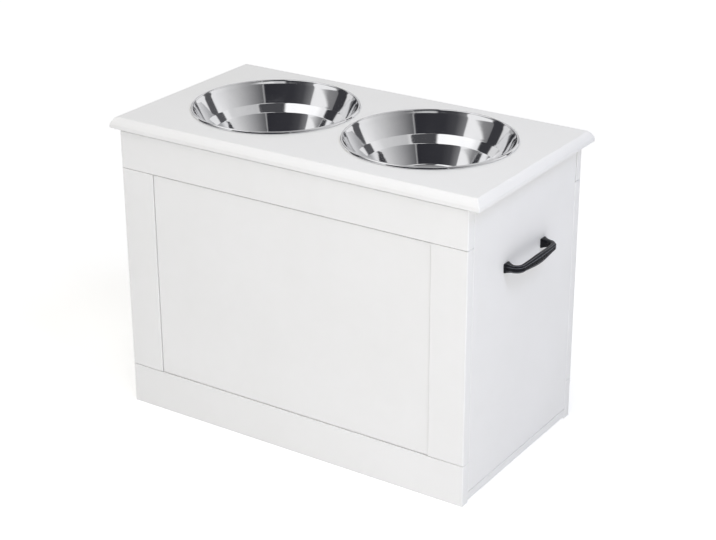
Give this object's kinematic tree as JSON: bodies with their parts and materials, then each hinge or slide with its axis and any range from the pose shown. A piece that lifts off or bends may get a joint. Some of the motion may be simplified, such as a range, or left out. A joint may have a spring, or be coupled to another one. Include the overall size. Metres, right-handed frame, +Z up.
{
  "type": "elevated dog feeder with storage",
  "caption": "Raised pet feeder: a white panelled storage box whose hinged lift-up top carries lift-out steel bowls, with black carry handles on the sides.",
  "frame": {"origin": "on the floor, under the centre of the top board", "axes": "+Z up, -Y towards the plain front face opposite the hinges, +X to the right seen from the front, along the row of bowls"},
  "size_m": [0.62, 0.32, 0.4489],
  "materials": {
    "white_paint": "satin white lacquer on medium density fibreboard",
    "bowl_steel": "mirror-polished stainless steel",
    "handle_black": "satin black powder coat on a casting",
    "zinc_steel": "bright zinc plate",
    "hinge_steel": "nickel-plated pressed steel",
    "cam_zinc": "raw zinc die casting",
    "dowel_wood": "bare beech",
    "bumper_silicone": "translucent silicone"
  },
  "bodies": {
    "cabinet": {"front_top_rail": "white_paint", "front_bottom_rail": "white_paint", "front_left_stile": "white_paint", "front_right_stile": "white_paint", "front_panel": "white_paint", "back_top_rail": "white_paint", "back_bottom_rail": "white_paint", "back_left_stile": "white_paint", "back_right_stile": "white_paint", "back_panel": "white_paint", "left_side_panel": "white_paint", "right_side_panel": "white_paint", "bottom_board": "white_paint", "handle_left": "handle_black", "handle_right": "handle_black", "handle_screws_left": "zinc_steel", "handle_screws_right": "zinc_steel", "hinge_left_pin": "zinc_steel", "hinge_right_pin": "zinc_steel", "hinge_screws_body": "zinc_steel", "side_cam_bolts": "zinc_steel", "bottom_cam_bolts": "zinc_steel", "bottom_screws": "zinc_steel", "hinge_left_body_leaf": "hinge_steel", "hinge_right_body_leaf": "hinge_steel", "side_cams": "cam_zinc", "bottom_cams": "cam_zinc", "front_frame_dowels": "dowel_wood", "back_frame_dowels": "dowel_wood", "lid_bumpers": "bumper_silicone"},
    "lid": {"lid_board": "white_paint", "hinge_left_lid_leaf": "hinge_steel", "hinge_right_lid_leaf": "hinge_steel", "hinge_screws_lid": "zinc_steel"},
    "left_bowl": {"bowl_left": "bowl_steel"},
    "right_bowl": {"bowl_right": "bowl_steel"}
  },
  "joints": [
    {"name": "lid_hinge", "type": "hinge", "parent": "cabinet", "child": "lid", "pos_m": [0, 0.1575, 0.4265], "axis": [-1, 0, 0], "range_deg": [0, 100]},
    {"name": "left_bowl_lift", "type": "slide", "parent": "lid", "child": "left_bowl", "axis": [0, 0, 1], "range_m": [0, 0.09]},
    {"name": "right_bowl_lift", "type": "slide", "parent": "lid", "child": "right_bowl", "axis": [0, 0, 1], "range_m": [0, 0.09]}
  ]
}
